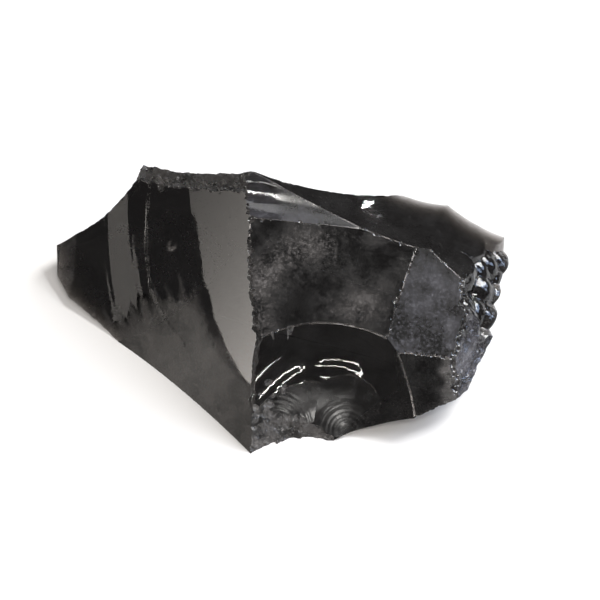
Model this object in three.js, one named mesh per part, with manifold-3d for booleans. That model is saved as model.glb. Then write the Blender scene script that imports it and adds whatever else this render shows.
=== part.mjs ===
// Obsidian chunk: a hand specimen of black volcanic glass, struck off on every side.
// Millimetres, +Z up, standing on its one flat face, origin under the middle of its bounding box.
//
// Volcanic glass breaks in shallow shell-shaped bowls. The body is therefore made the way the
// stone was: a raw block loses one flake after another, and each flake leaves one scar. A scar
// is given by three points it passes through and by how much it is bent between them.

import * as THREE from 'three';
import Module from 'manifold-3d';

const wasm = await Module();
wasm.setup();
const { Manifold, Mesh: Shell } = wasm;

// ---------------------------------------------------------------- driving dimensions, mm

const BLOCK_LOW = [-55, -40, 0];      // raw block, lower corner; its underside stays as the base
const BLOCK_HIGH = [55, 38, 38];      // raw block, upper corner
const HEART = [0, -3, 8];             // a point well inside the stone, to tell outside from inside
const LID = 80;                       // how far a flake reaches outwards from its scar
const FAR = 120;                      // half width of a flake, wider than the stone
const FINE = 2.2;                     // spacing of the scar surface near its three points
const COARSE = 14;                    // spacing of the scar surface beyond them
const MARGIN = 1.1;                   // fine part reaches this much past the farthest point

// Each scar: the three points it passes through, and its bend in 1/mm, which is positive for a
// bowl: [along the first direction, across it, twist]. The first direction runs from the first
// point to the second unless `along` gives another one. `lumps` are [spacing, height] of rounded
// knobs on crushed places.
const SCARS = {
  // the big smooth left face, from the crest down to the table
  left_face: {
    points: [[-6.4, 15.5, 33], [-6.7, -33.1, 0.2], [-50.4, 18.1, 7.5]],
    bend: [-0.0046, 0.006, 0.001],
  },
  // the dull face right of the main ridge
  dull_face: { points: [[-5.3, 8, 29], [-6.9, -16.5, 16.5], [29.7, 3.7, 25]], bend: [0.004, 0.004, 0] },
  // the narrow hollow strip under the crest
  crest_strip: {
    points: [[-6, 15.8, 33], [-4.9, 8.5, 29.2], [17.5, 7.4, 27]],
    bend: [0.003, 0.1, 0],
    along: [1, -0.1, -0.2],
  },
  // the nearly level face at the back, and the slope that carries on from it to the right
  top_face: {
    points: [[17.5, 7.4, 27], [29.7, 3.6, 24.9], [6.2, 17, 28.9]],
    bend: [0.008, 0.004, 0],
    along: [1, 0, -0.3],
  },
  top_slope: { points: [[32.8, 3.2, 24], [39.7, -1.4, 19.7], [39.3, 19, 19]], bend: [0.004, 0.006, 0] },
  // the frosted face on the right and the dark one below it
  frosted_face: {
    points: [[29.7, 3.6, 24.9], [23, -14.5, 15.6], [39.5, -1.3, 19.8]],
    bend: [0.006, 0.006, 0],
  },
  low_face: { points: [[25.6, -16.5, 13.9], [36.9, -16.4, 11.7], [31, -26.4, 6]], bend: [0.006, 0.004, 0] },
  // the deep shell-shaped bowl at the front, with the crushed foot it was struck from
  shell_bowl: {
    points: [[-6.9, -16.5, 16.5], [7.9, -11.3, 17.5], [27.6, -22.6, 9.2]],
    bend: [0.021, 0.013, 0],
    along: [1, 0, 0],
  },
  crushed_foot: {
    points: [[-6.7, -33.2, 0.1], [11.6, -29.3, 0.7], [-6.8, -27.4, 6]],
    bend: [0.04, 0, 0],
    along: [1, 0, 0],
    lumps: [5, 0.5],
  },
  // the battered right end
  crushed_end: {
    points: [[40.6, -4.4, 17.7], [36.9, -16.4, 11.7], [43.6, -15, 6.2]],
    bend: [0.01, 0.01, 0],
    lumps: [6, 0.6],
  },
  knobbed_end: {
    points: [[39.7, -2, 19.3], [49.6, 15.5, 12.8], [45.8, -6.1, 10]],
    bend: [0.004, 0.01, 0],
    lumps: [7, 0.9],
  },
  // the crushed edge behind the left face and the thin tip
  crushed_crest: {
    points: [[-31, 26.6, 23], [-8.4, 15.4, 32.6], [-19.5, 23.5, 28.5]],
    bend: [0.004, 0.004, 0],
  },
  tip_face: { points: [[-46.6, 18.5, 9.5], [-47.5, 9.6, 3.3], [-51.7, 16.8, 3.6]], bend: [0.004, 0.004, 0] },
  tip_end: { points: [[-51.2, 21.3, 6], [-51.6, 14.8, 4], [-49.5, 15.6, 0]], bend: [0, 0, 0] },
  // the back, nearly upright on the left and undercut on the right
  back_left: { points: [[-50, 19.4, 8], [-31.9, 27.7, 22], [-35.5, 27.6, 0]], bend: [0.03, 0.004, 0] },
  back_middle: {
    points: [[-28.3, 26.7, 25.5], [26.3, 21.2, 21.8], [0.5, 26.2, 0]],
    bend: [0.0125, 0.003, 0],
    along: [1, 0, 0],
  },
  back_undercut: {
    points: [[36.6, 19.2, 20.3], [50.1, 16.9, 12.5], [38.5, 7.7, 0]],
    bend: [0.022, 0.012, 0],
    along: [1, 0, 0],
  },
  // the undersides that lift the tip and the right end off the table
  under_tip: { points: [[-50.4, 11.6, 2.2], [-36.9, -3.3, 0], [-45.5, 21.6, 3]], bend: [0.002, 0.002, 0] },
  under_right: {
    points: [[12, -29.6, 0.3], [28.5, -27.5, 5.2], [41.5, -19.1, 5.5]],
    bend: [0.004, 0.004, 0],
  },
  under_end: { points: [[45.6, -7.7, 8.4], [50, 3.1, 10], [32.5, 5.7, 2.6]], bend: [0.003, 0.003, 0] },
};

// ---------------------------------------------------------------- making one scar

const vector = (p) => new THREE.Vector3(p[0], p[1], p[2]);

// The scar's own frame: its middle, its outward direction, and two directions along it.
function frameOf({ points, along }) {
  const [p, q, r] = points.map(vector);
  const middle = new THREE.Vector3().add(p).add(q).add(r).divideScalar(3);
  const out = q.clone().sub(p).cross(r.clone().sub(p)).normalize();
  if (out.dot(middle.clone().sub(vector(HEART))) < 0) out.negate();
  const first = along ? vector(along) : q.clone().sub(p);
  first.addScaledVector(out, -first.dot(out)).normalize();
  const second = out.clone().cross(first);
  return { middle, out, first, second };
}

// Knobs: a smooth bump in every cell of a slanted grid, never rising above the scar itself.
function lumpAt(u, v, [spacing, height]) {
  const turn = (2 * Math.PI) / spacing;
  const wave = Math.cos(turn * (u + 0.35 * v)) + Math.cos(turn * (v - 0.2 * u));
  return (height * (wave - 2)) / 4;
}

// Height of the scar over the plane through its three points: bent between them, and still
// passing through all three.
function heightOf(scar, frame) {
  const [ku, kv, twist] = scar.bend;
  const bent = (u, v) => 0.5 * ku * u * u + 0.5 * kv * v * v + twist * u * v;
  const flat = scar.points.map((point) => {
    const offset = vector(point).sub(frame.middle);
    return [offset.dot(frame.first), offset.dot(frame.second)];
  });
  const rows = flat.map(([u, v]) => [1, u, v]);
  const matrix = new THREE.Matrix3().set(...rows.flat()).invert();
  const lean = new THREE.Vector3(...flat.map(([u, v]) => -bent(u, v))).applyMatrix3(matrix);
  return (u, v) => {
    const height = bent(u, v) + lean.x + lean.y * u + lean.z * v;
    return scar.lumps ? height + lumpAt(u, v, scar.lumps) : height;
  };
}

// Grid lines: close together over the scar's own points, wide apart beyond them.
function gridLines(reach) {
  const steps = Math.ceil(reach / FINE);
  const lines = [];
  for (let i = -steps; i <= steps; i += 1) lines.push((i * reach) / steps);
  for (let x = reach + COARSE; x < FAR; x += COARSE) {
    lines.push(x);
    lines.unshift(-x);
  }
  return lines;
}

// The flake that comes off: a closed body whose inner side is the scar surface.
function flake(scar) {
  const frame = frameOf(scar);
  const height = heightOf(scar, frame);
  const distances = scar.points.map((point) => vector(point).distanceTo(frame.middle));
  const lines = gridLines(MARGIN * Math.max(...distances));
  const count = lines.length;
  const corners = [];
  const place = (u, v, h) => {
    const p = frame.middle.clone();
    p.addScaledVector(frame.first, u).addScaledVector(frame.second, v).addScaledVector(frame.out, h);
    corners.push(p.x, p.y, p.z);
  };
  for (const u of lines) for (const v of lines) place(u, v, Math.min(height(u, v), LID - 5));
  for (const u of lines) for (const v of lines) place(u, v, LID);

  const triangles = [];
  const quad = (a, b, c, d) => triangles.push(a, b, c, a, c, d);
  const at = (i, j, layer) => layer * count * count + i * count + j;
  for (let i = 0; i < count - 1; i += 1) {
    for (let j = 0; j < count - 1; j += 1) {
      quad(at(i, j, 0), at(i, j + 1, 0), at(i + 1, j + 1, 0), at(i + 1, j, 0));
      quad(at(i, j, 1), at(i + 1, j, 1), at(i + 1, j + 1, 1), at(i, j + 1, 1));
    }
    quad(at(i, 0, 0), at(i + 1, 0, 0), at(i + 1, 0, 1), at(i, 0, 1));
    quad(at(i + 1, count - 1, 0), at(i, count - 1, 0), at(i, count - 1, 1), at(i + 1, count - 1, 1));
    quad(at(0, i + 1, 0), at(0, i, 0), at(0, i, 1), at(0, i + 1, 1));
    quad(at(count - 1, i, 0), at(count - 1, i + 1, 0), at(count - 1, i + 1, 1), at(count - 1, i, 1));
  }
  return new Manifold(new Shell({
    numProp: 3,
    vertProperties: new Float32Array(corners),
    triVerts: new Uint32Array(triangles),
  }));
}

// ---------------------------------------------------------------- the stone

// A three.js box as a closed solid: its corners are welded by position.
function solidBox(low, high) {
  const size = high.map((value, axis) => value - low[axis]);
  const box = new THREE.BoxGeometry(...size);
  box.translate(...low.map((value, axis) => value + size[axis] / 2));
  const position = box.getAttribute('position');
  const seen = new Map();
  const corners = [];
  const welded = Array.from(box.index.array, (index) => {
    const key = [position.getX(index), position.getY(index), position.getZ(index)].join();
    if (!seen.has(key)) {
      seen.set(key, corners.length / 3);
      corners.push(position.getX(index), position.getY(index), position.getZ(index));
    }
    return seen.get(key);
  });
  return new Manifold(new Shell({
    numProp: 3,
    vertProperties: new Float32Array(corners),
    triVerts: new Uint32Array(welded),
  }));
}

let stone = solidBox(BLOCK_LOW, BLOCK_HIGH);
for (const scar of Object.values(SCARS)) stone = stone.subtract(flake(scar));

const shell = stone.getMesh();
const geometry = new THREE.BufferGeometry();
geometry.setAttribute('position', new THREE.BufferAttribute(shell.vertProperties, 3));
geometry.setIndex(new THREE.BufferAttribute(shell.triVerts, 1));
geometry.computeVertexNormals();

const obsidian = new THREE.MeshStandardMaterial({ color: 0x0b0a0c, roughness: 0.08, metalness: 0 });
const chunk = new THREE.Mesh(geometry, obsidian);
chunk.name = 'obsidian_chunk';

const group = new THREE.Group();
group.name = 'obsidian';
group.add(chunk);

export default group;
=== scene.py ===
# %% [markdown]
# ## An obsidian chunk, knapped in numpy
# Obsidian is volcanic glass. It has no grain, so every blow takes off a flake and leaves one smooth,
# slightly bent scar, and the stone is nothing but such scars and the sharp ridges between them. It could be
# sculpted or displaced from a ball, but ridges made that way stay soft. Here a block loses its flakes one
# by one, so each ridge is exactly where two scars meet. This cell loads the fixed frame that the looks are
# built in.

# %% Load the frame
import math

import bpy
import numpy as np
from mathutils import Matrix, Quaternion, Vector


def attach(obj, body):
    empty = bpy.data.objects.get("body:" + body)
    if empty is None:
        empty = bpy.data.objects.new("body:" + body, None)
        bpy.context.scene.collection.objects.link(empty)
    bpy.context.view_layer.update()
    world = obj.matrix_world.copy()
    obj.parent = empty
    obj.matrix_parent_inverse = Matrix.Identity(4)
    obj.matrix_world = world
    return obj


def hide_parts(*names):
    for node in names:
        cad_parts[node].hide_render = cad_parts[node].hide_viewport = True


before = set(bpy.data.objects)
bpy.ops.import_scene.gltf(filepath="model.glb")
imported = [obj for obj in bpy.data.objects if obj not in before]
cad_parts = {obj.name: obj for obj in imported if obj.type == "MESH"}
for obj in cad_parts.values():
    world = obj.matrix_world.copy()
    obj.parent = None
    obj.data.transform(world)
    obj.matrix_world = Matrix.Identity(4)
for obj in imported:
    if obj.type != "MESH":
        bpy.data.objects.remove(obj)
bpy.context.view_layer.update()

MM = 0.001

# %% [markdown]
# ## Camera
# The stone is looked down on at about fifty degrees, from its long front side. A long lens from half a
# metre keeps the shape almost free of perspective, as in a close picture of a specimen.

# %% Camera
AIM = Vector((4.05, -3.05, 15.0)) * MM
REACH = 520 * MM
DOWN = math.radians(52)
camera_data = bpy.data.cameras.new("specimen_camera")
camera_data.lens = 142.6
camera_data.sensor_width = 36.0
camera_data.clip_start = 0.01
camera = bpy.data.objects.new("specimen_camera", camera_data)
camera.location = AIM + REACH * Vector((0.0, -math.cos(DOWN), math.sin(DOWN)))
camera.rotation_euler = (math.pi / 2 - DOWN, 0.0, 0.0)
bpy.context.collection.objects.link(camera)
bpy.context.scene.camera = camera
bpy.context.scene.view_settings.view_transform = "Standard"
print("camera at", [round(c, 3) for c in camera.location])

# %% [markdown]
# ## The bent scar
# A flake scar is close to a plane, hollowed or swollen by a small amount. It could be cut from big spheres,
# but a sphere bends the same both ways. A plane through three corners with one bend in each direction, and
# a twist, fits real scars better, and its height over the plane is one short formula for a whole array of
# points.


# %% The bent scar
def unit(v):
    """v divided by its own length."""
    return v / np.linalg.norm(v)


def units(rows):
    """Every row divided by its own length."""
    return rows / np.linalg.norm(rows, axis=1, keepdims=True)


class Scar:
    """A bent plane through three corners. With u along its first direction and v across it,
    height = bend_u u^2 / 2 + bend_v v^2 / 2 + twist u v + a level and a tilt that meet all three corners.
    The heart is a point deep in the stone, and out points away from it."""

    def __init__(self, corners, bend, along=None, marks=None, heart=(0.0, -3.0, 8.0)):
        self.corners = np.array(corners, float)
        self.middle = self.corners.mean(axis=0)
        first = self.corners[1] - self.corners[0]
        out = unit(np.cross(first, self.corners[2] - self.corners[0]))
        self.out = out if out @ (self.middle - np.array(heart)) > 0 else -out
        way = first if along is None else np.array(along, float)
        self.u_way = unit(way - self.out * (way @ self.out))
        self.v_way = np.cross(self.out, self.u_way)
        self.bend = bend
        self.marks = marks
        at = (self.corners - self.middle) @ np.array([self.u_way, self.v_way]).T
        tilt = np.column_stack([np.ones(3), at])
        self.level = np.linalg.solve(tilt, -self.curve(at[:, 0], at[:, 1]))
        # The fine grid of the cutter goes a little past the furthest corner.
        self.reach = 1.15 * np.linalg.norm(self.corners - self.middle, axis=1).max()

    def curve(self, u, v):
        """Height of the bend alone: bend_u u^2 / 2 + bend_v v^2 / 2 + twist u v."""
        bend_u, bend_v, twist = self.bend
        return bend_u * u * u / 2 + bend_v * v * v / 2 + twist * u * v

    def place(self, u, v, h):
        """Points over the plane: middle + u u_way + v v_way + h out."""
        return self.middle + u[..., None] * self.u_way + v[..., None] * self.v_way + h[..., None] * self.out

    def height(self, u, v):
        """The bent plane, plus the marks that the flake left on it, in millimetres."""
        h = self.curve(u, v) + self.level[0] + self.level[1] * u + self.level[2] * v
        return h if self.marks is None else h + self.marks(self.place(u, v, h))

    def normals(self, points, step=0.04):
        """Outward way at points: out - slope_u u_way - slope_v v_way, with slopes by small steps."""
        from_middle = points - self.middle
        u, v = from_middle @ self.u_way, from_middle @ self.v_way
        slope_u = (self.height(u + step, v) - self.height(u - step, v)) / (2 * step)
        slope_v = (self.height(u, v + step) - self.height(u, v - step)) / (2 * step)
        return units(self.out - slope_u[:, None] * self.u_way - slope_v[:, None] * self.v_way)


# %% [markdown]
# ## Swells and shells
# Fracture leaves marks that tell where the blow fell. Each mark is a height in millimetres, worked out for
# a whole array of points, and is simply added to the scar's own height. These two have no direction: a soft
# swell, and the many tiny shells of a crushed place. A noise texture would give round lumps, but real
# shells meet in sharp little ridges, so they are made from distances to scattered centres.


# %% Swells and shells
def waves(points, size, seed, count=9):
    """Soft swelling between -1 and 1: the mean of sines that run in random directions, about size mm long."""
    rng = np.random.default_rng(seed)
    ways = rng.normal(size=(count, 3))
    ways *= (rng.uniform(0.7, 1.5, count) * 2 * np.pi / size / np.linalg.norm(ways, axis=1))[:, None]
    return np.sin(points @ ways.T + rng.uniform(0, 2 * np.pi, count)).mean(axis=-1)


HASH_WAYS = np.array([(127.1, 311.7, 74.7), (269.5, 183.3, 246.1), (113.5, 271.9, 124.6)])


def shells(points, size, seed, dome=False, lean=0.0):
    """Little shells packed side by side. Space is cut into cubes of one size, each with a random centre.
    Height = (distance to nearest centre / size)^2, or minus that for a dome, plus each shell's own lean."""
    cell = np.floor(points / size)
    best = np.full(points.shape[:-1], 1e9)
    tilted = np.zeros(points.shape[:-1])
    for shift in np.ndindex(3, 3, 3):
        spot = cell + np.array(shift) - 1
        mixed = np.stack([spot @ way for way in HASH_WAYS], -1)
        jitter = np.abs(np.sin(mixed + seed)) * 43758.5453 % 1.0
        away = points / size - (spot + jitter)
        far = (away * away).sum(axis=-1)
        nearer = far < best
        best = np.where(nearer, far, best)
        tilted = np.where(nearer, (away * (jitter[..., ::-1] - 0.5)).sum(axis=-1), tilted)
    return (-best if dome else best) + lean * tilted


sample = np.random.default_rng(1).uniform(-10.0, 10.0, (1000, 3))
print("a swell goes from", waves(sample, 5.0, 1).min().round(2), "to", waves(sample, 5.0, 1).max().round(2))

# %% [markdown]
# ## Rings, hackles and the tear line
# Ribs are rings round the strike, hackles are fine lines that run away from it, and the tear is one raised
# line where two parts of the crack met. They could be carved one by one, but as formulas of the place they
# follow the scar however it bends.


# %% Rings, hackles and the tear line
BOWL_STRIKE = (10.6, -30.0, 0.2)
TEAR = [(-29.6, 25.4), (-30.3, 18.0), (-30.4, 11.8), (-29.3, 3.9), (-25.8, -2.9), (-21.3, -9.0)]
def ribs(points, strike, rings, width, depth):
    """Rings round the strike: for each ring radius, depth * exp(-((distance - radius) / width)^2)."""
    distance = np.linalg.norm(points - np.array(strike), axis=-1)
    widths, depths = np.broadcast_to(width, len(rings)), np.broadcast_to(depth, len(rings))
    return sum(d * np.exp(-(((distance - ring) / w) ** 2)) for ring, w, d in zip(rings, widths, depths))


def bowl_ribs(points):
    """Two broken rings in the big shell. The outer one fades to the right, and the inner one is notched by
    short hackles that run out from the strike."""
    x = points[..., 0]
    outer = ribs(points, BOWL_STRIKE, (20.6,), 0.4, 0.045) / (1 + np.exp((x - 1.0) / 1.2))
    angle = np.arctan2(x - BOWL_STRIKE[0], points[..., 1] - BOWL_STRIKE[1])
    comb = 0.88 + 0.12 * np.sin(angle * 40 + 1.5 * np.sin(angle * 13))
    gap = 1 - 0.9 * np.exp(-(((x - 6.2) / 1.8) ** 2))
    inner = ribs(points, BOWL_STRIKE, (15.9,), 1.2, 0.10) * comb * gap / (1 + np.exp((x - 15.5) / 0.8))
    return outer + inner


def across_hackles(points):
    """Distance across the hackles of the left face: s = x - 0.008 (20 - y)^2, so they bend to the right."""
    down = np.maximum(20.0 - points[..., 1], 0.0)
    return points[..., 0] - 0.008 * down * down


def hackles(points, pitch, depth, seed):
    """Fine lines down the left face: the mean of six sines of s, with pitches drawn round the one given."""
    s = across_hackles(points)
    rng = np.random.default_rng(seed)
    pitches = pitch * rng.uniform(0.6, 1.7, 6)
    return depth * sum(np.sin(s * 2 * np.pi / p + rng.uniform(0, 6.28)) for p in pitches) / 6


def left_part(points):
    """1 left of the left face's middle, fading to 0 towards the sharp main ridge."""
    return 1 / (1 + np.exp((points[..., 0] + 0.36 * np.minimum(points[..., 1], 0) + 20.0) / 1.5))


def tear(points, path, width, depth):
    """A fine raised line through the places (x, y) of path: depth * exp(-(across / width)^2), where across is
    the sideways distance from the line, worked out at equal y."""
    path = np.array(path)
    across = points[..., 0] - np.interp(-points[..., 1], -path[:, 1], path[:, 0])
    inside = (points[..., 1] < path[0, 1]) & (points[..., 1] > path[-1, 1])
    return depth * inside * np.exp(-((across / width) ** 2))

# %% [markdown]
# ## The broken brow
# Along the crest the left face's flake broke off short and left a low, ragged wall. It could be one more
# scar, but its foot would be a straight line. As a rise added to the face, the foot can wander as the real
# one does.


# %% The broken brow
BROW_START, BROW_WAY = np.array((-31.0, 25.6)), np.array((0.444, 0.896))
def behind_brow(points):
    """How far a point lies behind the ragged line where the left face's flake broke off, in millimetres."""
    ragged = 0.9 * (shells(points, 2.4, 7.7) - 0.3) + 0.5 * waves(points, 1.6, 14)
    return (points[..., :2] - BROW_START) @ BROW_WAY + ragged


def brow(points):
    """The low broken wall behind that line. It climbs about 2.2 mm within 2 mm by the smooth step
    3 rise^2 - 2 rise^3, is roughened by shells, and fades out at both ends of the crest."""
    rise = np.clip(behind_brow(points) / 2.0, 0.0, 1.0)
    x = points[..., 0]
    ends = np.clip((x + 33.0) / 4.0, 0.0, 1.0) * np.clip((-4.0 - x) / 8.0, 0.0, 1.0)
    return 2.2 * ends * rise * rise * (3 - 2 * rise) * (0.8 + 0.6 * shells(points, 1.5, 9.1, lean=1.5))


# %% [markdown]
# ## Marks of each scar
# Every scar has its own mixture of marks. A smooth scar has little more than a swell of a few hundredths of
# a millimetre, which is enough to make a reflection wander as it does on real glass.


# %% Marks of each scar
def left_marks(points):
    """Left face: the brow, a faint swell, hackles on the left part and the tear line."""
    lines = hackles(points, 2.2, 0.004, 5) * left_part(points)
    return brow(points) + 0.006 * waves(points, 9.0, 3) + lines + tear(points, TEAR, 0.16, 0.03)


def dull_marks(points):
    """A swell of 0.05 mm and a fine one of 0.012 mm."""
    return 0.05 * waves(points, 7.0, 11) + 0.012 * waves(points, 1.6, 12)


def crest_marks(points):
    """Flutes along x, made by a swell that is stretched four times that way, and a swell of 0.02 mm."""
    return 0.03 * waves(points * np.array([0.25, 1, 1]), 2.2, 21) + 0.02 * waves(points, 5.0, 22)


def top_marks(points):
    """A swell of 0.03 mm."""
    return 0.03 * waves(points, 8.0, 31)


def frost_marks(points):
    """A swell of 0.06 mm and a fine one of 0.02 mm."""
    return 0.06 * waves(points, 6.0, 41) + 0.02 * waves(points, 1.3, 42)


def bowl_marks(points):
    """A swell of 0.02 mm and the rings round the strike."""
    return 0.02 * waves(points, 6.0, 51) + bowl_ribs(points)


def foot_marks(points):
    """Crushed foot: steps that lie along x, with larger and smaller leaning shells on them."""
    steps = 0.45 * waves(points * np.array([0.25, 1, 1.6]), 2.4, 58)
    return steps + 0.6 * shells(points, 3.4, 1.7, lean=1.2) + 0.16 * shells(points, 1.1, 5.1, lean=1.2)


def end_marks(points):
    """Crushed end: leaning shells of 4.6 mm and of 1.7 mm."""
    return 0.9 * shells(points, 4.6, 3.3, lean=1.0) + 0.25 * shells(points, 1.7, 2.2, lean=1.2)


def knob_marks(points):
    """Knobbed end: domes of 5.4 mm with smaller domes of 2.6 mm on them."""
    return 0.5 + 3.4 * shells(points, 5.4, 8.4, dome=True) + 0.4 * shells(points, 2.6, 1.4, dome=True)


def hinge_left_marks(points):
    """Left hinged bowl: five close rings and a swell."""
    rings = ribs(points, (-1.0, -28.6, 3.0), (3.2, 4.4, 5.3, 6.5, 7.6), 0.33, 0.05)
    return rings + 0.03 * waves(points, 2.5, 55)


def hinge_right_marks(points):
    """Right hinged bowl: five close rings and a swell."""
    rings = ribs(points, (14.2, -28.4, 1.6), (2.2, 3.3, 4.2, 5.4, 6.5), 0.33, 0.055)
    return rings + 0.02 * waves(points, 2.5, 56)


def crust_marks(points):
    """Crushed crest: leaning shells of 3 mm and of 1.2 mm."""
    return -0.3 + 0.9 * shells(points, 3.0, 6.6, lean=1.5) + 0.35 * shells(points, 1.2, 4.4, lean=1.5)


def back_marks(points):
    """A swell of 0.08 mm and four broad rings."""
    rings = ribs(points, (24.0, 20.0, 24.0), (14.0, 22.0, 31.0, 41.0), 1.6, 0.12)
    return 0.08 * waves(points, 9.0, 71) + rings


def under_marks(points):
    """A swell of 0.05 mm."""
    return 0.05 * waves(points, 9.0, 81)


# %% [markdown]
# ## The scars of this stone
# These are the flakes that shape the chunk: three corners in millimetres, the bend, the marks, and for some
# the first direction. The same corners shape the CAD body, apart from the two small hinged bowls, which it
# goes without, so the looks and the frame agree.

# %% The scars of this stone
scars = {
    "left_face": Scar(
        [(-6.4, 15.5, 33), (-6.7, -33.1, 0.2), (-50.4, 18.1, 7.5)],
        bend=(-0.0046, 0.006, 0.001), marks=left_marks,
    ),
    "dull_face": Scar(
        [(-5.3, 8, 29), (-6.9, -16.5, 16.5), (29.7, 3.7, 25)],
        bend=(0.004, 0.004, 0), marks=dull_marks,
    ),
    "crest_strip": Scar(
        [(-6, 15.8, 33), (-4.9, 8.5, 29.2), (17.5, 7.4, 27)],
        bend=(0.003, 0.1, 0), along=(1, -0.1, -0.2), marks=crest_marks,
    ),
    "top_face": Scar(
        [(17.5, 7.4, 27), (29.7, 3.6, 24.9), (6.2, 17, 28.9)],
        bend=(0.008, 0.004, 0), along=(1, 0, -0.3), marks=top_marks,
    ),
    "top_slope": Scar(
        [(32.8, 3.2, 24), (39.7, -1.4, 19.7), (39.3, 19, 19)],
        bend=(0.004, 0.006, 0), marks=top_marks,
    ),
    "frosted_face": Scar(
        [(29.7, 3.6, 24.9), (23, -14.5, 15.6), (39.5, -1.3, 19.8)],
        bend=(0.006, 0.006, 0), marks=frost_marks,
    ),
    "low_face": Scar(
        [(25.6, -16.5, 13.9), (36.9, -16.4, 11.7), (31, -26.4, 6)],
        bend=(0.006, 0.004, 0), marks=dull_marks,
    ),
    "shell_bowl": Scar(
        [(-6.9, -16.5, 16.5), (7.9, -11.3, 17.5), (27.6, -22.6, 9.2)],
        bend=(0.021, 0.013, 0), along=(1, 0, 0), marks=bowl_marks,
    ),
    "crushed_foot": Scar(
        [(-6.7, -33.2, 0.1), (11.6, -29.3, 0.7), (-6.8, -27.4, 6)],
        bend=(0.04, 0, 0), along=(1, 0, 0), marks=foot_marks,
    ),
    "crushed_end": Scar(
        [(40.6, -4.4, 17.7), (36.9, -16.4, 11.7), (43.6, -15, 6.2)],
        bend=(0.01, 0.01, 0), marks=end_marks,
    ),
    "knobbed_end": Scar(
        [(39.7, -2, 19.3), (49.6, 15.5, 12.8), (45.8, -6.1, 10)],
        bend=(0.004, 0.01, 0), marks=knob_marks,
    ),
    "crushed_crest": Scar(
        [(-31, 26.6, 23.0), (-8.4, 15.4, 32.6), (-19.5, 23.5, 28.5)],
        bend=(0.004, 0.004, 0), marks=crust_marks,
    ),
    "tip_face": Scar(
        [(-46.6, 18.5, 9.5), (-47.5, 9.6, 3.3), (-51.7, 16.8, 3.6)],
        bend=(0.004, 0.004, 0), marks=under_marks,
    ),
    "tip_end": Scar(
        [(-51.2, 21.3, 6), (-51.6, 14.8, 4), (-49.5, 15.6, 0)],
        bend=(0, 0, 0), marks=under_marks,
    ),
    "back_left": Scar(
        [(-50, 19.4, 8), (-31.9, 27.7, 22), (-35.5, 27.6, 0)],
        bend=(0.03, 0.004, 0), marks=back_marks,
    ),
    "back_middle": Scar(
        [(-28.3, 26.7, 25.5), (26.3, 21.2, 21.8), (0.5, 26.2, 0)],
        bend=(0.0125, 0.003, 0), along=(1, 0, 0), marks=back_marks,
    ),
    "back_undercut": Scar(
        [(36.6, 19.2, 20.3), (50.1, 16.9, 12.5), (38.5, 7.7, 0)],
        bend=(0.022, 0.012, 0), along=(1, 0, 0), marks=back_marks,
    ),
    "hinge_left": Scar(
        [(-5.4, -27.6, 5.4), (8.4, -20.2, 8.0), (6.5, -28.4, 1.9)],
        bend=(0.03, 0.06, 0), marks=hinge_left_marks,
    ),
    "hinge_right": Scar(
        [(8.2, -20.3, 8.0), (18.4, -20.4, 8.3), (15.5, -28.8, 1.0)],
        bend=(0.05, 0.05, 0), marks=hinge_right_marks,
    ),
    "under_tip": Scar(
        [(-50.4, 11.6, 2.2), (-36.9, -3.3, 0), (-45.5, 21.6, 3)],
        bend=(0.002, 0.002, 0), marks=under_marks,
    ),
    "under_right": Scar(
        [(12.0, -29.6, 0.3), (28.5, -27.5, 5.2), (41.5, -19.1, 5.5)],
        bend=(0.004, 0.004, 0), marks=under_marks,
    ),
    "under_end": Scar(
        [(45.6, -7.7, 8.4), (50, 3.1, 10), (32.5, 5.7, 2.6)],
        bend=(0.003, 0.003, 0), marks=under_marks,
    ),
}
names = list(scars)
SMALL = {"hinge_left", "hinge_right"}
BOTTOM, CHIP, WORN = len(names), 1000, 5000
print(len(scars), "scars, the widest reaching", round(max(s.reach for s in scars.values()), 1), "mm")

# %% [markdown]
# ## The flake as a cutter
# What a blow takes away is everything outside the scar. So each cutter is a closed body: the scar as its
# floor, on a fine grid near the stone and a coarse one beyond, walls round it, and a flat lid well clear of
# the stone. Each face of a cutter carries its scar's number: 0 and up for the scars, BOTTOM for the block,
# and numbers from CHIP and from WORN for the small work on the ridges.


# %% The flake as a cutter
def mesh_object(name, points, faces, marks):
    """A mesh in metres from points in millimetres, linked to the scene. Each face keeps a number that says
    which flake it comes from, and a carve hands these numbers on."""
    mesh = bpy.data.meshes.new(name)
    mesh.from_pydata((points * MM).tolist(), [], faces)
    mesh.update()
    layer = mesh.attributes.new("flake", "INT", "FACE")
    layer.data.foreach_set("value", np.broadcast_to(marks, len(faces)).astype(np.int32))
    thing = bpy.data.objects.new(name, mesh)
    bpy.context.collection.objects.link(thing)
    return thing


def flake(number, scar, step, coarse=9.0, far=120.0, lid=80.0):
    """Grid floor place(u, v, height(u, v)), a wall quad from each rim edge up to the lid, one lid face."""
    fine = np.arange(-scar.reach, scar.reach + step / 2, step)
    beyond = np.arange(fine[-1] + coarse, far, coarse)
    ticks = np.concatenate([-beyond[::-1], fine, beyond])
    u, v = np.meshgrid(ticks, ticks, indexing="ij")
    floor = scar.place(u, v, np.clip(scar.height(u, v), -200.0, lid - 5.0)).reshape(-1, 3)
    index = np.arange(u.size).reshape(u.shape)
    quads = np.stack([index[:-1, 1:], index[1:, 1:], index[1:, :-1], index[:-1, :-1]], -1).reshape(-1, 4)
    rim = np.concatenate([index[:-1, 0], index[-1, :-1], index[:0:-1, -1], index[0, :0:-1]])
    top = u.size + np.arange(len(rim))
    walls = np.stack([rim, np.roll(rim, -1), np.roll(top, -1), top], -1)
    lid_points = scar.place(u.ravel()[rim], v.ravel()[rim], np.full(len(rim), lid))
    faces = quads.tolist() + walls.tolist() + [top.tolist()]
    return mesh_object("flake", np.concatenate([floor, lid_points]), faces, number)


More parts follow.
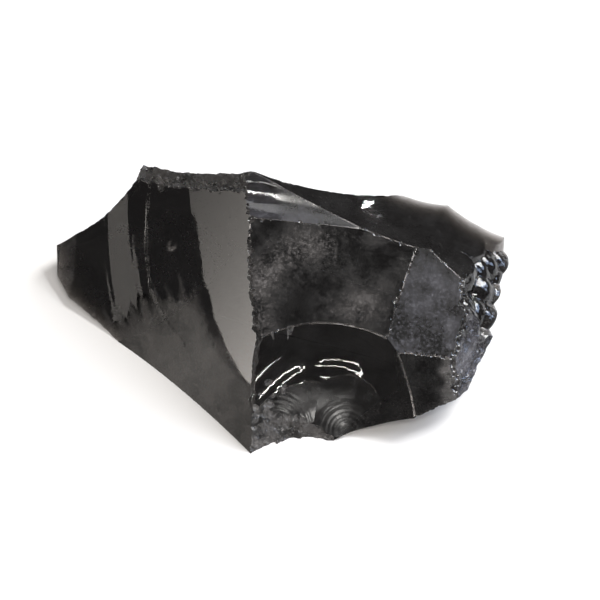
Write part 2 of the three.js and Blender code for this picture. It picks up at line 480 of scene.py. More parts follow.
def carve(stone, tool):
    """Takes the tool's solid out of the stone's and forgets the tool."""
    cut = stone.modifiers.new("carve", "BOOLEAN")
    cut.operation = "DIFFERENCE"
    cut.solver = "MANIFOLD"
    cut.object = tool
    worked = bpy.data.meshes.new_from_object(stone.evaluated_get(bpy.context.evaluated_depsgraph_get()))
    stone.modifiers.clear()
    before, tool_mesh = stone.data, tool.data
    stone.data = worked
    bpy.data.objects.remove(tool)
    bpy.data.meshes.remove(before)
    bpy.data.meshes.remove(tool_mesh)


# %% [markdown]
# ## Knapping the block
# The faces that are mostly looked at get a grid of less than half a millimetre, and the back and underside
# a coarser one. That is fine enough for the ribs and shells, and keeps the whole stone light.

# %% Knapping the block
FINE_FACES = {
    "left_face", "dull_face", "crest_strip", "shell_bowl", "frosted_face",
    "crushed_foot", "crushed_end", "knobbed_end", "crushed_crest",
}
LOW, HIGH = np.array([-55.0, -40.0, 0.0]), np.array([55.0, 38.0, 38.0])
corner_bits = np.array(list(np.ndindex(2, 2, 2)))
stone = mesh_object(
    "obsidian_body",
    LOW + corner_bits * (HIGH - LOW),
    [(0, 1, 3, 2), (4, 6, 7, 5), (0, 4, 5, 1), (2, 3, 7, 6), (0, 2, 6, 4), (1, 5, 7, 3)],
    BOTTOM,
)
for number, name in enumerate(names):
    scar = scars[name]
    if name in SMALL:
        carve(stone, flake(number, scar, 0.3, coarse=1.0, far=1.5 * scar.reach, lid=9.0))
    else:
        carve(stone, flake(number, scar, 0.4 if name in FINE_FACES else 0.7))
print("after the big flakes:", len(stone.data.vertices), "vertices,", len(stone.data.polygons), "faces")

# %% [markdown]
# ## Reading the stone back
# Every finish belongs to one scar, and the carving hands each face its flake's number. Going through the
# faces one by one would be slow, so these helpers read whole arrays at once.


# %% Reading the stone back
def read(items, field, width, kind=np.float32):
    """One field of many mesh items as an array, width numbers each."""
    flat = np.empty(len(items) * width, kind)
    items.foreach_get(field, flat)
    return flat.reshape(-1, width) if width > 1 else flat


def corners_of(mesh):
    """Every vertex, in millimetres."""
    return read(mesh.vertices, "co", 3).astype(float) / MM


def flakes_of(mesh):
    """The flake number of every face."""
    return read(mesh.attributes["flake"].data, "value", 1, np.int32)


counts = np.bincount(flakes_of(stone.data), minlength=BOTTOM + 1)
print({name: int(n) for name, n in zip(names + ["bottom"], counts)})
# %% [markdown]
# ## Finding the ridges
# Wear and chips sit on the ridges, which are simply the edges whose two faces carry different numbers.
# Sorting the face corners by their edge brings the two faces of each edge side by side.


# %% Finding the ridges
def ridges(mesh):
    """Of every edge whose two faces lie on different scars: the middle, the two scars and the way out."""
    owner = flakes_of(mesh)
    edge = read(mesh.loops, "edge_index", 1, np.int32)
    start = read(mesh.polygons, "loop_start", 1, np.int32)
    face = np.searchsorted(start, np.arange(len(edge)), side="right") - 1
    order = np.argsort(edge, kind="stable")
    edge, face = edge[order], face[order]
    first = np.flatnonzero(edge[:-1] == edge[1:])
    one, two = face[first], face[first + 1]
    ends = read(mesh.edges, "vertices", 2, np.int32)
    middle = corners_of(mesh)[ends[edge[first]]].mean(axis=1)
    way = read(mesh.polygons, "normal", 3).astype(float)
    apart = owner[one] != owner[two]
    pair = np.sort(np.stack([owner[one], owner[two]], -1), axis=1)
    return middle[apart], pair[apart], (way[one] + way[two])[apart]


def on_ridge(pair, one, two):
    """Which of the ridge edges lie between two named scars."""
    return (pair == sorted((names.index(one), names.index(two)))).all(axis=1)


middle, pair, outward = ridges(stone.data)
print(len(middle), "ridge edges")

# %% [markdown]
# ## Worn ridges
# Rubbing takes the very edge off a ridge, more in one place than in the next. Bevelling would blunt it
# evenly, so a thin rod is laid along the ridge, rising and sinking a little, and is taken out of the stone.


# %% Worn ridges
ROD_SIDES, ROD_STEP = 12, 0.25
rods = {}


def wear(spots, outs, radius, sink, spread, number):
    """Takes a thin round rod out of a ridge. Its path has a place every ROD_STEP: the mean of the ridge's own
    points, weighted by exp(-(distance along / spread)^2). Round the path, a point is at
    centre + radius (cos a side + sin a out)."""
    axis = np.linalg.svd(spots - spots.mean(axis=0), full_matrices=False)[2][0]
    along = (spots - spots.mean(axis=0)) @ axis
    ticks = np.arange(along.min(), along.max(), ROD_STEP)
    near = np.exp(-(((ticks[:, None] - along) / spread) ** 2))
    near /= near.sum(axis=1, keepdims=True)
    path, out = near @ spots, near @ outs
    way = units(np.gradient(path, axis=0))
    out = units(out - way * (out * way).sum(axis=1, keepdims=True))
    side = np.cross(way, out)
    depth = sink * (1 + 0.6 * waves(path, 3.0, number))
    centre = path + out * (radius - depth)[:, None]
    a = 2 * np.pi * np.arange(ROD_SIDES) / ROD_SIDES
    ring = radius * (np.cos(a)[None, :, None] * side[:, None] + np.sin(a)[None, :, None] * out[:, None])
    points = (centre[:, None] + ring).reshape(-1, 3)
    index = np.arange(len(points)).reshape(-1, ROD_SIDES)
    turned = np.roll(index, -1, axis=1)
    quads = np.stack([index[:-1], turned[:-1], turned[1:], index[1:]], -1).reshape(-1, 4)
    faces = quads.tolist() + [index[0, ::-1].tolist(), index[-1].tolist()]
    rods[number] = centre
    carve(stone, mesh_object("worn_edge", points, faces, number))


WORN_EDGES = [
    (("dull_face", "shell_bowl"), 0.5, 0.13, 0.5),
    (("left_face", "shell_bowl"), 0.4, 0.08, 0.4),
    (("left_face", "dull_face"), 0.4, 0.07, 0.4),
    (("crest_strip", "back_middle"), 0.4, 0.10, 0.4),
    (("crest_strip", "top_face"), 0.4, 0.09, 0.4),
    (("crest_strip", "dull_face"), 0.4, 0.06, 0.4),
    (("dull_face", "top_face"), 0.35, 0.07, 0.4),
    (("dull_face", "frosted_face"), 0.4, 0.06, 0.4),
    (("frosted_face", "top_slope"), 0.4, 0.08, 0.4),
    (("frosted_face", "low_face"), 0.5, 0.10, 0.5),
    (("shell_bowl", "low_face"), 0.5, 0.12, 0.5),
    (("shell_bowl", "hinge_left"), 0.4, 0.08, 0.4),
    (("shell_bowl", "hinge_right"), 0.4, 0.08, 0.4),
]
for step, ((one, two), radius, sink, spread) in enumerate(WORN_EDGES):
    on = on_ridge(pair, one, two)
    print(one, "meets", two, "along", int(on.sum()), "edges")
    if on.sum() > 8:
        wear(middle[on], outward[on], radius, sink, spread, WORN + step)

# %% [markdown]
# ## A chip
# The sharp ridges of real obsidian are nicked all along by knocks and pressure. Each nick is a tiny shell
# of its own, so it is made as the flakes are: a small leaning ellipsoid, sunk a little way into the ridge.


# %% A chip
def ellipsoid_grid(rings=14, spokes=20):
    """Unit ball on a grid of rings and spokes: (sin a cos b, sin a sin b, cos a), with single poles."""
    down = np.pi * np.arange(1, rings) / rings
    round_it = 2 * np.pi * np.arange(spokes) / spokes
    a, b = np.meshgrid(down, round_it, indexing="ij")
    body = np.stack([np.sin(a) * np.cos(b), np.sin(a) * np.sin(b), np.cos(a)], -1).reshape(-1, 3)
    points = np.concatenate([[(0, 0, 1)], body, [(0, 0, -1)]])
    index = 1 + np.arange(len(body)).reshape(a.shape)
    turned = np.roll(index, -1, axis=1)
    sides = np.stack([index[:-1], index[1:], turned[1:], turned[:-1]], -1).reshape(-1, 4)
    first_cap = [(0, p, q) for p, q in zip(index[0], turned[0])]
    last_cap = [(len(points) - 1, q, p) for p, q in zip(index[-1], turned[-1])]
    return points, sides.tolist() + first_cap + last_cap


BALL, BALL_FACES = ellipsoid_grid()


def random_turn(rng):
    """A rotation drawn evenly: the Q of a random square matrix."""
    turn, _ = np.linalg.qr(rng.normal(size=(3, 3)))
    return turn * np.sign(np.linalg.det(turn))


def chips_on(spots, outs, count, radius, sink, rng):
    """Ellipsoids at places drawn along a ridge, each with three half axes drawn round its radius.
    Centre = spot + facing * (thickness - depth), with thickness the ellipsoid's reach that way."""
    chosen = rng.choice(len(spots), size=min(count, len(spots)), replace=False)
    made = []
    for spot, out in zip(spots[chosen], outs[chosen]):
        size = rng.uniform(*radius)
        depth = rng.uniform(*sink)
        shape = random_turn(rng) * (size * rng.uniform([0.7, 0.8, 0.9], [1.1, 1.3, 1.6]))
        facing = unit(unit(out) + rng.normal(scale=0.25, size=3))
        thickness = 1 / np.linalg.norm(np.linalg.solve(shape, facing))
        made.append((spot + facing * (thickness - depth), shape))
    return made


print("a chip has", len(BALL_FACES), "faces")

# %% [markdown]
# ## Chips along the ridges
# How much a ridge is chipped depends on how sharp it is and on how it lay. For each ridge this says how
# many chips it has, and the range of their size and depth in millimetres. The dice are seeded, so the stone
# stays itself.

# %% Chips along the ridges
CHIPPED = [
    (("left_face", "dull_face"), 46, (0.5, 1.3), (0.12, 0.4)),
    (("left_face", "shell_bowl"), 50, (0.5, 1.4), (0.12, 0.45)),
    (("left_face", "crest_strip"), 10, (0.5, 1.0), (0.1, 0.25)),
    (("left_face", "crushed_crest"), 40, (0.6, 1.7), (0.15, 0.5)),
    (("left_face", "back_left"), 26, (0.5, 1.2), (0.06, 0.22)),
    (("left_face", "under_tip"), 16, (0.4, 1.0), (0.05, 0.18)),
    (("crest_strip", "dull_face"), 10, (0.4, 0.8), (0.05, 0.16)),
    (("dull_face", "top_face"), 16, (0.4, 1.0), (0.08, 0.25)),
    (("dull_face", "shell_bowl"), 12, (0.3, 0.7), (0.05, 0.12)),
    (("dull_face", "frosted_face"), 16, (0.4, 0.9), (0.06, 0.2)),
    (("frosted_face", "top_slope"), 10, (0.4, 0.9), (0.06, 0.2)),
    (("frosted_face", "low_face"), 12, (0.4, 0.9), (0.06, 0.2)),
    (("low_face", "crushed_end"), 22, (0.5, 1.3), (0.1, 0.4)),
    (("frosted_face", "crushed_end"), 22, (0.5, 1.4), (0.1, 0.4)),
    (("frosted_face", "knobbed_end"), 16, (0.5, 1.3), (0.1, 0.35)),
    (("low_face", "under_right"), 16, (0.5, 1.2), (0.1, 0.3)),
    (("shell_bowl", "low_face"), 8, (0.3, 0.7), (0.05, 0.15)),
    (("back_middle", "top_face"), 14, (0.5, 1.1), (0.05, 0.2)),
    (("back_undercut", "knobbed_end"), 16, (0.5, 1.3), (0.08, 0.3)),
]
middle, pair, outward = ridges(stone.data)
dice = np.random.default_rng(2026)
chips = []
for (one, two), count, radius, sink in CHIPPED:
    on = on_ridge(pair, one, two)
    if on.any():
        chips += chips_on(middle[on], outward[on], count, radius, sink, dice)
    else:
        print("no ridge between", one, "and", two)
print(len(chips), "chips")

# %% [markdown]
# ## Chips in groups
# Bodies that overlap can't be taken out in one go, so each chip joins the first group that it doesn't
# touch.

# %% Chips in groups
groups = []
sizes = [np.linalg.norm(shape, axis=0).max() for _, shape in chips]
for number, (centre, _) in enumerate(chips):
    for group in groups:
        clear = (np.linalg.norm(centre - chips[n][0]) > sizes[number] + sizes[n] for n in group)
        if all(clear):
            group.append(number)
            break
    else:
        groups.append([number])
for group in groups:
    points = np.concatenate([chips[n][0] + BALL @ chips[n][1].T for n in group])
    faces = [[c + k * len(BALL) for c in face] for k in range(len(group)) for face in BALL_FACES]
    carve(stone, mesh_object("chips", points, faces, np.repeat(CHIP + np.array(group), len(BALL_FACES))))
print(len(groups), "groups of chips;", len(stone.data.polygons), "faces")

# %% [markdown]
# ## True normals
# Gloss shows every error in a mesh. A renderer guesses the way a surface faces from its flat triangles, but
# here the formulas are known, so each face corner is given the exact outward way of its own scar or chip.
# Ridges stay knife sharp, because two corners at one point may face two ways.

# %% True normals
def scar_ways(number, spots):
    """Outward ways at spots on a scar: straight from the scar's own formula."""
    return scars[names[number]].normals(spots)


def rod_ways(number, spots):
    """Ways out of the stone on a worn ridge: from each spot towards the rod's axis, square to it."""
    line = rods[number]
    nearest = ((spots[:, None] - line) ** 2).sum(axis=2).argmin(axis=1)
    nearest = np.clip(nearest, 1, len(line) - 2)
    way = units(line[nearest + 1] - line[nearest - 1])
    to = line[nearest] - spots
    return units(to - way * (to * way).sum(axis=1, keepdims=True))


def chip_ways(number, spots):
    """Ways out of the stone in a chip, into its ellipsoid: -(shape shape^T)^-1 (spot - centre)."""
    centre, shape = chips[number - CHIP]
    return units(-np.linalg.solve(shape.T, np.linalg.solve(shape, (spots - centre).T)).T)


total = read(stone.data.polygons, "loop_total", 1, np.int32)
loop_face = np.repeat(np.arange(len(total)), total)
loop_point = corners_of(stone.data)[read(stone.data.loops, "vertex_index", 1, np.int32)]
loop_flake = flakes_of(stone.data)[loop_face]
face_way = read(stone.data.polygons, "normal", 3).astype(float)[loop_face]
loop_way = face_way.copy()
for number in np.unique(loop_flake[loop_flake != BOTTOM]):
    on = loop_flake == number
    ways = rod_ways if number >= WORN else chip_ways if number >= CHIP else scar_ways
    loop_way[on] = ways(number, loop_point[on])
# Where a formula and its flat face differ by more than sixty degrees, the face is right.
astray = (loop_way * face_way).sum(axis=1) < 0.5
loop_way[astray] = face_way[astray]
stone.data.shade_smooth()
stone.data.normals_split_custom_set(loop_way.tolist())
print("corners:", len(loop_way), "left with their face's own way:", int(astray.sum()))

# %% [markdown]
# ## Finish of each scar
# One glass has many finishes. A fresh scar is a mirror, a scar with fine hackles is hazy, a frosted one is
# almost matte, and crushed places are full of white cracks. Three numbers for each scar say this: haze, the
# share of light that comes back from fine cracks and dust; grain, the roughness; and crush, how broken the
# spot is. One glass for all, with these numbers carried by the mesh, keeps every ridge as sharp as it was
# cut.

# %% Finish of each scar
FINISH = {
    "left_face": (0.004, 0.018, 0.0),
    "dull_face": (0.115, 0.08, 0.0),
    "crest_strip": (0.07, 0.05, 0.05),
    "top_face": (0.008, 0.025, 0.0),
    "top_slope": (0.008, 0.03, 0.0),
    "frosted_face": (0.072, 0.26, 0.1),
    "low_face": (0.012, 0.10, 0.05),
    "shell_bowl": (0.010, 0.03, 0.0),
    "crushed_foot": (0.19, 0.25, 1.0),
    "crushed_end": (0.15, 0.16, 0.5),
    "knobbed_end": (0.012, 0.04, 0.05),
    "crushed_crest": (0.08, 0.25, 1.0),
    "tip_face": (0.05, 0.12, 0.1),
    "tip_end": (0.08, 0.2, 0.2),
    "back_left": (0.03, 0.1, 0.05),
    "back_middle": (0.02, 0.08, 0.0),
    "back_undercut": (0.04, 0.12, 0.05),
    "under_tip": (0.05, 0.2, 0.1),
    "under_right": (0.06, 0.2, 0.2),
    "under_end": (0.06, 0.2, 0.2),
    "bottom": (0.08, 0.3, 0.2),
    "hinge_left": (0.035, 0.21, 0.1),
    "hinge_right": (0.02, 0.21, 0.05),
    # Chips carry extra haze, so the nicks along the ridges show pale: partly the white of crushed glass,
    # partly a painted highlight in place of the glints of the lamps.
    "chip": (0.10, 0.06, 0.2),
    "worn": (0.06, 0.12, 0.1),
}
kind = np.where(loop_flake >= WORN, BOTTOM + 2, np.where(loop_flake >= CHIP, BOTTOM + 1, loop_flake))
finish = np.array([FINISH[name] for name in names + ["bottom", "chip", "worn"]])[kind]
print("finish worked out at", len(finish), "face corners")

# %% [markdown]
# ## Frost, bruises and blooms
# A scar isn't the same all over. The left face is frosted low down in long teeth and has one tiny bruise,
# and the dull face has a soft bloom round a dark middle. The frost and the bruise are shares from 0 to 1,
# and the bloom is a factor that the haze is multiplied by. Each is worked out from the place.


# %% Frost, bruises and blooms
def hackle_frost(points):
    """Frost low on the left face: 1 below a line with long teeth that follow the hackles, 0 above it. It
    stops on the right at the slanting line x = -19.9 - 0.53 (y - 1)."""
    s = across_hackles(points)
    teeth = np.abs(np.sin(s * 1.1 + 0.6)) ** 3 * 4.6 + np.abs(np.sin(s * 2.7 + 2.0)) ** 4 * 2.0
    edge = -1.8 - 0.05 * (s + 27.0) + teeth
    beside = 1.0 / (1.0 + np.exp((points[:, 0] + 19.9 + 0.53 * (points[:, 1] - 1.0)) / 0.3))
    return beside / (1.0 + np.exp((points[:, 1] - edge) / 0.15))


def nick(points):
    """A tiny crescent bruise high on the left face: a ring of 0.9 mm, kept only towards the lower left."""
    x, y = points[..., 0] + 24.2, points[..., 1] - 10.7
    return np.exp(-(((np.hypot(x, y) - 0.9) / 0.25) ** 2)) / (1.0 + np.exp((x + y) / 0.2))


def dull_bloom(points):
    """Bloom of the dull face: a soft arc round its dark middle, 14.5 mm out, and a patch low on the right."""
    x, y = points[:, 0], points[:, 1]
    away = np.hypot(x - 9.0, (y + 9.0) * 1.1)
    arc = np.exp(-(((away - 14.5) / 3.2) ** 2)) * (x < 12)
    patch = np.exp(-(((x - 17.0) / 5.0) ** 2) - (((y + 8.0) / 3.5) ** 2))
    return np.clip(0.15 + 1.5 * arc + 1.1 * patch + 0.3 * waves(points, 7.0, 91), 0.05, None)

print("the dull face's bloom goes up to", dull_bloom(loop_point).max().round(2))

# %% [markdown]
# ## Finish at every corner
# The shares change the finish where they apply. Two faces also run into broken ground: the left face behind
# the brow, and the right end of the low face, where the crushed end has spoilt it. A fourth number, cool,
# marks the scars whose bloom is bluish. All four become attributes of the face corners, which the glass
# reads.


# %% Finish at every corner
def corners_on(name):
    """Which face corners lie on a scar."""
    return loop_flake == names.index(name)


def blend_to(on, share, other):
    """Moves the finish of some corners towards another scar's, by a share between 0 and 1."""
    finish[on] += share[:, None] * (np.array(FINISH[other]) - finish[on])


left = corners_on("left_face")
frost = hackle_frost(loop_point[left])
finish[left, 0] += 0.065 * frost + 0.4 * nick(loop_point[left])
finish[left, 1] += 0.015 * frost
blend_to(left, np.clip(behind_brow(loop_point[left]) / 0.5, 0.0, 1.0), "crushed_crest")
dull = corners_on("dull_face")
finish[dull, 0] *= dull_bloom(loop_point[dull])
# The strip is glossy at its left end and turns satin within four millimetres.
strip = corners_on("crest_strip")
finish[strip, 1] += 0.2 * np.clip((loop_point[strip, 0] + 2.5) / 4.0, 0.0, 1.0)
# The frosted face is hazier towards the front.
frosted = corners_on("frosted_face")
finish[frosted, 0] *= 0.8 + 0.07 * np.clip(-loop_point[frosted, 1], 0.0, 14.0)
low = corners_on("low_face")
spoilt_from = 34.0 - 2.5 * waves(loop_point[low], 5.0, 97)
blend_to(low, np.clip((loop_point[low, 0] - spoilt_from) / 1.5, 0.0, 1.0), "crushed_end")
cool_ones = [names.index(n) for n in ("crest_strip", "frosted_face", "crushed_end", "knobbed_end")]
finish = np.column_stack([finish, np.isin(loop_flake, cool_ones)])
for column, name in enumerate(("haze", "grain", "crush", "cool")):
    layer = stone.data.attributes.new(name, "FLOAT", "CORNER")
    layer.data.foreach_set("value", finish[:, column].astype(np.float32))
    print(name, "from", finish[:, column].min().round(3), "to", finish[:, column].max().round(3))

# %% [markdown]
# ## Nodes in one line
# A material is a tree of nodes. Written out socket by socket it is hard to read, so each of these helpers
# makes one kind of node, joins it up and hands back its result.


# %% Nodes in one line
def node(tree, kind, **inputs):
    """A node with its sockets set by name, where _ stands for a space."""
    made = tree.nodes.new(kind)
    for name, value in inputs.items():
        made.inputs[name.replace("_", " ")].default_value = value
    return made


def math_node(tree, operation, one, two, clamp=False):
    """A Math node on two values or links."""
    made = tree.nodes.new("ShaderNodeMath")
    made.operation = operation
    made.use_clamp = clamp
    for socket, value in zip(made.inputs, (one, two)):
        if isinstance(value, (int, float)):
            socket.default_value = value
        else:
            tree.links.new(value, socket)
    return made.outputs[0]


def mix_colours(tree, share, one, two):
    """A colour that goes from one to two as the share goes from 0 to 1."""
    made = tree.nodes.new("ShaderNodeMix")
    made.data_type = "RGBA"
    tree.links.new(share, made.inputs["Factor"])
    for socket, value in zip((made.inputs[6], made.inputs[7]), (one, two)):
        if isinstance(value, tuple):
            socket.default_value = value
        else:
            tree.links.new(value, socket)
    return made.outputs[2]


def ramp(tree, value, low, high):
    """0 below low, 1 above high, straight between."""
    made = tree.nodes.new("ShaderNodeMapRange")
    tree.links.new(value, made.inputs["Value"])
    made.inputs["From Min"].default_value = low
    made.inputs["From Max"].default_value = high
    return made.outputs["Result"]

glass = bpy.data.materials.new("volcanic_glass")
glass.use_nodes = True
tree = glass.node_tree


def times(one, two):
    """one x two."""
    return math_node(tree, "MULTIPLY", one, two)


def plus(one, two, clamp=False):
    """one + two, kept between 0 and 1 where clamp is true."""
    return math_node(tree, "ADD", one, two, clamp)


def noise(scale, detail, roughness=0.6):
    """Noise over the stone, with scale in lumps per metre."""
    made = node(tree, "ShaderNodeTexNoise", Scale=scale, Detail=detail, Roughness=roughness)
    tree.links.new(place, made.inputs["Vector"])
    return made.outputs["Fac"]


place = tree.nodes.new("ShaderNodeTexCoord").outputs["Object"]
layers = {}
for name in ("haze", "grain", "crush", "cool"):
    reader = tree.nodes.new("ShaderNodeAttribute")
    reader.attribute_name = name
    layers[name] = reader.outputs["Fac"]
print("the glass reads", list(layers))

# %% [markdown]
# ## Volcanic glass
# Obsidian looks black because it is deep: a smoky glass that swallows light within a few millimetres.
# Painting it black would lose the grey see-through rims, so this is true glass: it bends light with an
# index of 1.5 and takes light away by the millimetre.

# %% Volcanic glass
TINT, DENSITY = (0.42, 0.40, 0.38), 1650.0
shader = tree.nodes["Principled BSDF"]
output = tree.nodes["Material Output"]
shader.inputs["IOR"].default_value = 1.5
absorb = node(tree, "ShaderNodeVolumeAbsorption", Color=(*TINT, 1.0), Density=DENSITY)
tree.links.new(absorb.outputs["Volume"], output.inputs["Volume"])
stone.data.materials.clear()
stone.data.materials.append(glass)
print("glass takes away, per millimetre:", [round((1 - c) * DENSITY * MM, 2) for c in TINT])

# %% [markdown]
# ## Bloom
# Haze gives part of the light back as a pale grey bloom. On the real stone the bloom is cloudy and full of
# fine specks, so the haze is multiplied by a mottle of the two, and a few larger flecks are added. What
# doesn't come back goes on into the glass.

# %% Bloom
cloud = ramp(tree, noise(170.0, 6.0, 0.68), 0.42, 0.66)
speckle = ramp(tree, noise(1500.0, 3.0, 0.7), 0.48, 0.74)
fleck = ramp(tree, noise(620.0, 1.0), 0.73, 0.78)
mottle = plus(plus(times(cloud, 1.1), speckle), 0.05)
flecks = times(fleck, times(layers["haze"], 1.5))
bloom = plus(times(layers["haze"], mottle), flecks, clamp=True)
clear = math_node(tree, "SUBTRACT", 1.0, bloom, clamp=True)
tree.links.new(clear, shader.inputs["Transmission Weight"])
warm_pale = mix_colours(tree, speckle, (0.50, 0.47, 0.45, 1.0), (0.64, 0.60, 0.58, 1.0))
cool_pale = mix_colours(tree, speckle, (0.46, 0.45, 0.50, 1.0), (0.62, 0.61, 0.68, 1.0))
pale = mix_colours(tree, layers["cool"], warm_pale, cool_pale)
milky = ramp(tree, bloom, 0.0, 0.06)
base = mix_colours(tree, milky, (0.92, 0.90, 0.88, 1.0), pale)
tree.links.new(base, shader.inputs["Base Color"])
print("nodes so far:", len(tree.nodes))

# %% [markdown]
# ## Gloss and grit
# Grain is the roughness, a little higher in the cloudy patches. Crushed and hazy places also get a fine
# bump of about a fifth of a millimetre, finer than the mesh can carry.

# %% Gloss and grit
rough = plus(layers["grain"], times(times(cloud, layers["grain"]), 0.6))
tree.links.new(rough, shader.inputs["Roughness"])
bump = node(tree, "ShaderNodeBump", Distance=0.0002)
grit = plus(noise(2600.0, 4.0, 0.7), times(noise(900.0, 2.0), 1.5))
tree.links.new(grit, bump.inputs["Height"])
strength = plus(times(layers["crush"], 0.6), times(layers["haze"], 0.25))
tree.links.new(strength, bump.inputs["Strength"])
tree.links.new(bump.outputs["Normal"], shader.inputs["Normal"])
print("nodes in all:", len(tree.nodes))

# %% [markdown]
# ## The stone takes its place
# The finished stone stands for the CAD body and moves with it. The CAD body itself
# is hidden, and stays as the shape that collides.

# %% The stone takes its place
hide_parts("obsidian_chunk")
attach(stone, "root")
print("stone in place:", len(stone.data.vertices), "vertices")

# %% [markdown]
# ## Table
# The stone lies on a plain white table, big enough that its edge is never near. It isn't part of the
# object, so it doesn't ride.

# %% Table
half = 1.5
floor_mesh = bpy.data.meshes.new("white_table")
floor_corners = [(-half, -half, 0), (half, -half, 0), (half, half, 0), (-half, half, 0)]
floor_mesh.from_pydata(floor_corners, [], [(0, 1, 2, 3)])
floor = bpy.data.objects.new("white_table", floor_mesh)
bpy.context.collection.objects.link(floor)
white = bpy.data.materials.new("white_table")
white.use_nodes = True
board = white.node_tree.nodes["Principled BSDF"]
board.inputs["Base Color"].default_value = (0.88, 0.87, 0.855, 1.0)
board.inputs["Roughness"].default_value = 0.7
floor.data.materials.append(white)
print("table reaches", half, "m each way")

# %% [markdown]
# ## Dim room
# Everything that black glass shows is a reflection, and a bright room would turn it grey, so the room is
# dim. The camera itself sees a pale backdrop in its place, so that a low view has white behind the table
# and not a dark wall. Only the room does this: the glass never asks where the camera is.

# %% Dim room
world = bpy.data.worlds.new("dim_room")
bpy.context.scene.world = world
world.use_nodes = True
room = world.node_tree
sky = room.nodes["Background"]
sky.inputs["Color"].default_value = (1.0, 0.94, 0.94, 1.0)
sky.inputs["Strength"].default_value = 0.22
backdrop = node(room, "ShaderNodeBackground", Color=(1.0, 0.99, 0.97, 1.0), Strength=0.95)
switch = room.nodes.new("ShaderNodeMixShader")
room.links.new(room.nodes.new("ShaderNodeLightPath").outputs["Is Camera Ray"], switch.inputs["Fac"])
room.links.new(sky.outputs["Background"], switch.inputs[1])
room.links.new(backdrop.outputs["Background"], switch.inputs[2])
room.links.new(switch.outputs["Shader"], room.nodes["World Output"].inputs["Surface"])
print("room and backdrop:", [round(n.inputs["Strength"].default_value, 2) for n in (sky, backdrop)])

# %% [markdown]
# ## Soft lights
# Black glass is lit by what it mirrors. One big soft panel, above and behind to the right, gives the table
# its white and the short soft shadow in front and on the left. A weak one overhead fills in, and a blue one
# stands beside the right end. Two narrow strips and a tall window in front, and a very small window behind,
# are mirrored as bright glints. Each lamp is placed by compass and height angle, aims at the stone, and
# gets its brightness as seen: power = brightness x pi x area.


# %% Soft lights
def lamp(name, compass, height, far, size, brightness, roll=0.0, colour=(1.0, 1.0, 1.0)):
    """An area light far mm away, seen from the stone at compass degrees, 0 front and 90 right, and height
    degrees. Way = (sin compass cos height, -cos compass cos height, sin height)."""
    a, e = math.radians(compass), math.radians(height)
    way = Vector((math.sin(a) * math.cos(e), -math.cos(a) * math.cos(e), math.sin(e)))
    data = bpy.data.lights.new(name, "AREA")
    data.shape = "RECTANGLE"
    data.size, data.size_y = size[0] * MM, size[1] * MM
    data.energy = brightness * math.pi * data.size * data.size_y
    data.color = colour
    thing = bpy.data.objects.new(name, data)
    thing.location = Vector((0.0, 0.0, 0.012)) + way * far * MM
    turn = way.to_track_quat("Z", "Y") @ Quaternion((0, 0, 1), math.radians(roll))
    thing.rotation_euler = turn.to_euler()
    thing.visible_camera = False
    bpy.context.collection.objects.link(thing)


lamp("big_soft_panel", 126, 43, 700, (360, 330), 17.0)
lamp("overhead_panel", 100, 86, 600, (200, 200), 3.0)
lamp("front_strip", 31, 36.0, 600, (190, 16), 42.0, roll=-6, colour=(1.0, 0.98, 0.94))
lamp("front_strip_end", -1, 37.5, 600, (170, 9), 36.0, roll=4, colour=(1.0, 0.98, 0.94))
lamp("front_window", 5, 61, 600, (24, 110), 80.0, roll=8, colour=(1.0, 0.98, 0.94))
lamp("back_window", 157.0, 21.9, 600, (13, 2.5), 150.0, roll=68)
lamp("back_window_pane", 156.5, 22.15, 600, (3, 2), 150.0, roll=75)
lamp("cool_side_panel", 105, 30, 600, (240, 220), 6.5, colour=(0.55, 0.70, 1.0))

# %% [markdown]
# ## Pale cards on the left
# The big left face is a mirror, and its calm grey bands are pale cards that stand to the left in the dim
# room. An area light is a plain rectangle, but these need a bowed edge and a brightness that changes with
# height, so each card is a strip on a grid, glowing, and hidden from the camera as a lamp is.


# %% Pale cards on the left
card_glow = bpy.data.materials.new("card_glow")
card_glow.use_nodes = True
card_tree = card_glow.node_tree
card_tree.nodes.remove(card_tree.nodes["Principled BSDF"])
shine = node(card_tree, "ShaderNodeEmission", Color=(1.0, 0.94, 0.88, 1.0))
level = card_tree.nodes.new("ShaderNodeAttribute")
level.attribute_name = "glow"
card_tree.links.new(level.outputs["Fac"], shine.inputs["Strength"])
card_tree.links.new(shine.outputs["Emission"], card_tree.nodes["Material Output"].inputs["Surface"])


def card(name, low, high, edge, other_edge, brightness):
    """A glowing strip 600 mm away. At each height h it runs from edge(h) to other_edge(h) by compass."""
    h = np.linspace(low, high, 24)
    compass = np.radians(np.stack([edge(h), other_edge(h)], -1))
    e = np.radians(h)[:, None]
    way = np.stack([np.sin(compass) * np.cos(e), -np.cos(compass) * np.cos(e), np.sin(e) + 0 * compass], -1)
    points = (np.array((0.0, 0.0, 12.0)) + 600.0 * way).reshape(-1, 3)
    k = 2 * np.arange(len(h) - 1)
    thing = mesh_object(name, points, np.stack([k, k + 1, k + 3, k + 2], -1).tolist(), 0)
    glow = thing.data.attributes.new("glow", "FLOAT", "POINT")
    glow.data.foreach_set("value", np.repeat(brightness(h), 2).astype(np.float32))
    thing.visible_camera = False
    thing.data.materials.append(card_glow)
print("card nodes:", len(card_tree.nodes))

# %% [markdown]
# ## Where the cards stand
# Each edge is a compass angle for every height h, both in degrees, with the left side negative. Curves that
# bow away with height give the bands their curved edges in the glass.


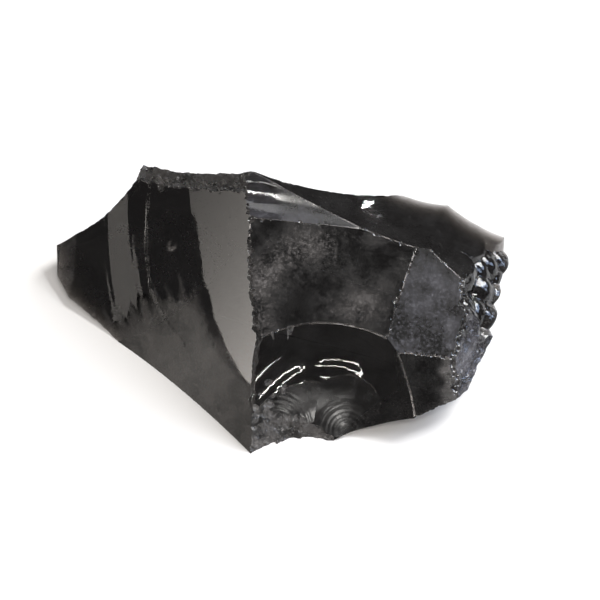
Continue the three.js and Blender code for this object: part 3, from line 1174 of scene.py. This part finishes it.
# %% Where the cards stand
def wide_near(h):
    """The wide card's edge nearer the front: 79.2 to the left at height 6, bowing by 0.0275 (h - 6)^2."""
    return -79.2 - 0.0275 * (h - 6) ** 2


def wide_far(h):
    """Its far edge: upright at 81.5 degrees to the left, leaning away by 1.22 a degree above height 6.7."""
    return -81.5 - 1.22 * np.clip(h - 6.7, 0, None)


def wide_glow(h):
    """Brightness 5.6 at height 11, falling with height by exp(-(h - 11) / 14.5)."""
    return 5.6 * np.exp(-(h - 11) / 14.5)


def narrow_near(h):
    """The narrow card's edge nearer the front: 66.5 degrees to the left, bowing by 0.03 (h - 12.5)^2."""
    return -66.5 - 0.030 * (h - 12.5) ** 2


def narrow_far(h):
    """Its far edge: 72.5 degrees to the left, bowing by 0.0283 (h - 12.5)^2."""
    return -72.5 - 0.0283 * (h - 12.5) ** 2


def narrow_glow(h):
    """Brightness 1.7 all over."""
    return 1.7 + 0 * h


def low_near(h):
    """The low card's near edge: as the narrow card's above height 12.5, upright below it, and stepping 8
    degrees towards the front between heights 10 and 9."""
    return -66.5 - 0.030 * np.clip(h - 12.5, 0, None) ** 2 + 8 * np.clip(10 - h, 0, 1)


def low_far(h):
    """Its far edge: the wide card's near edge less a gap of 0.18 (h - 6) above height 6, or the line
    -81.4 + 0.667 (h - 18.9), whichever is nearer the front."""
    return np.maximum(wide_near(h) + 0.18 * np.clip(h - 6, 0, None), -81.4 + 0.667 * (h - 18.9))


def low_glow(h):
    """Brightness 0.9 with a hump of 0.7 at height 13, fading out between heights 21.5 and 25."""
    return (0.9 + 0.7 * np.exp(-(((h - 13) / 5.5) ** 2))) * np.clip((25 - h) / 3.5, 0, 1)


card("wide_card", -1, 42, wide_near, wide_far, wide_glow)
card("narrow_card", 14, 44, narrow_near, narrow_far, narrow_glow)
card("low_card", -1, 26, low_near, low_far, low_glow)

# %% [markdown]
# ## Last count
# The looks must keep the size of the frame. The stone is counted one last time.

# %% Last count
print("triangles:", int((total - 2).sum()))
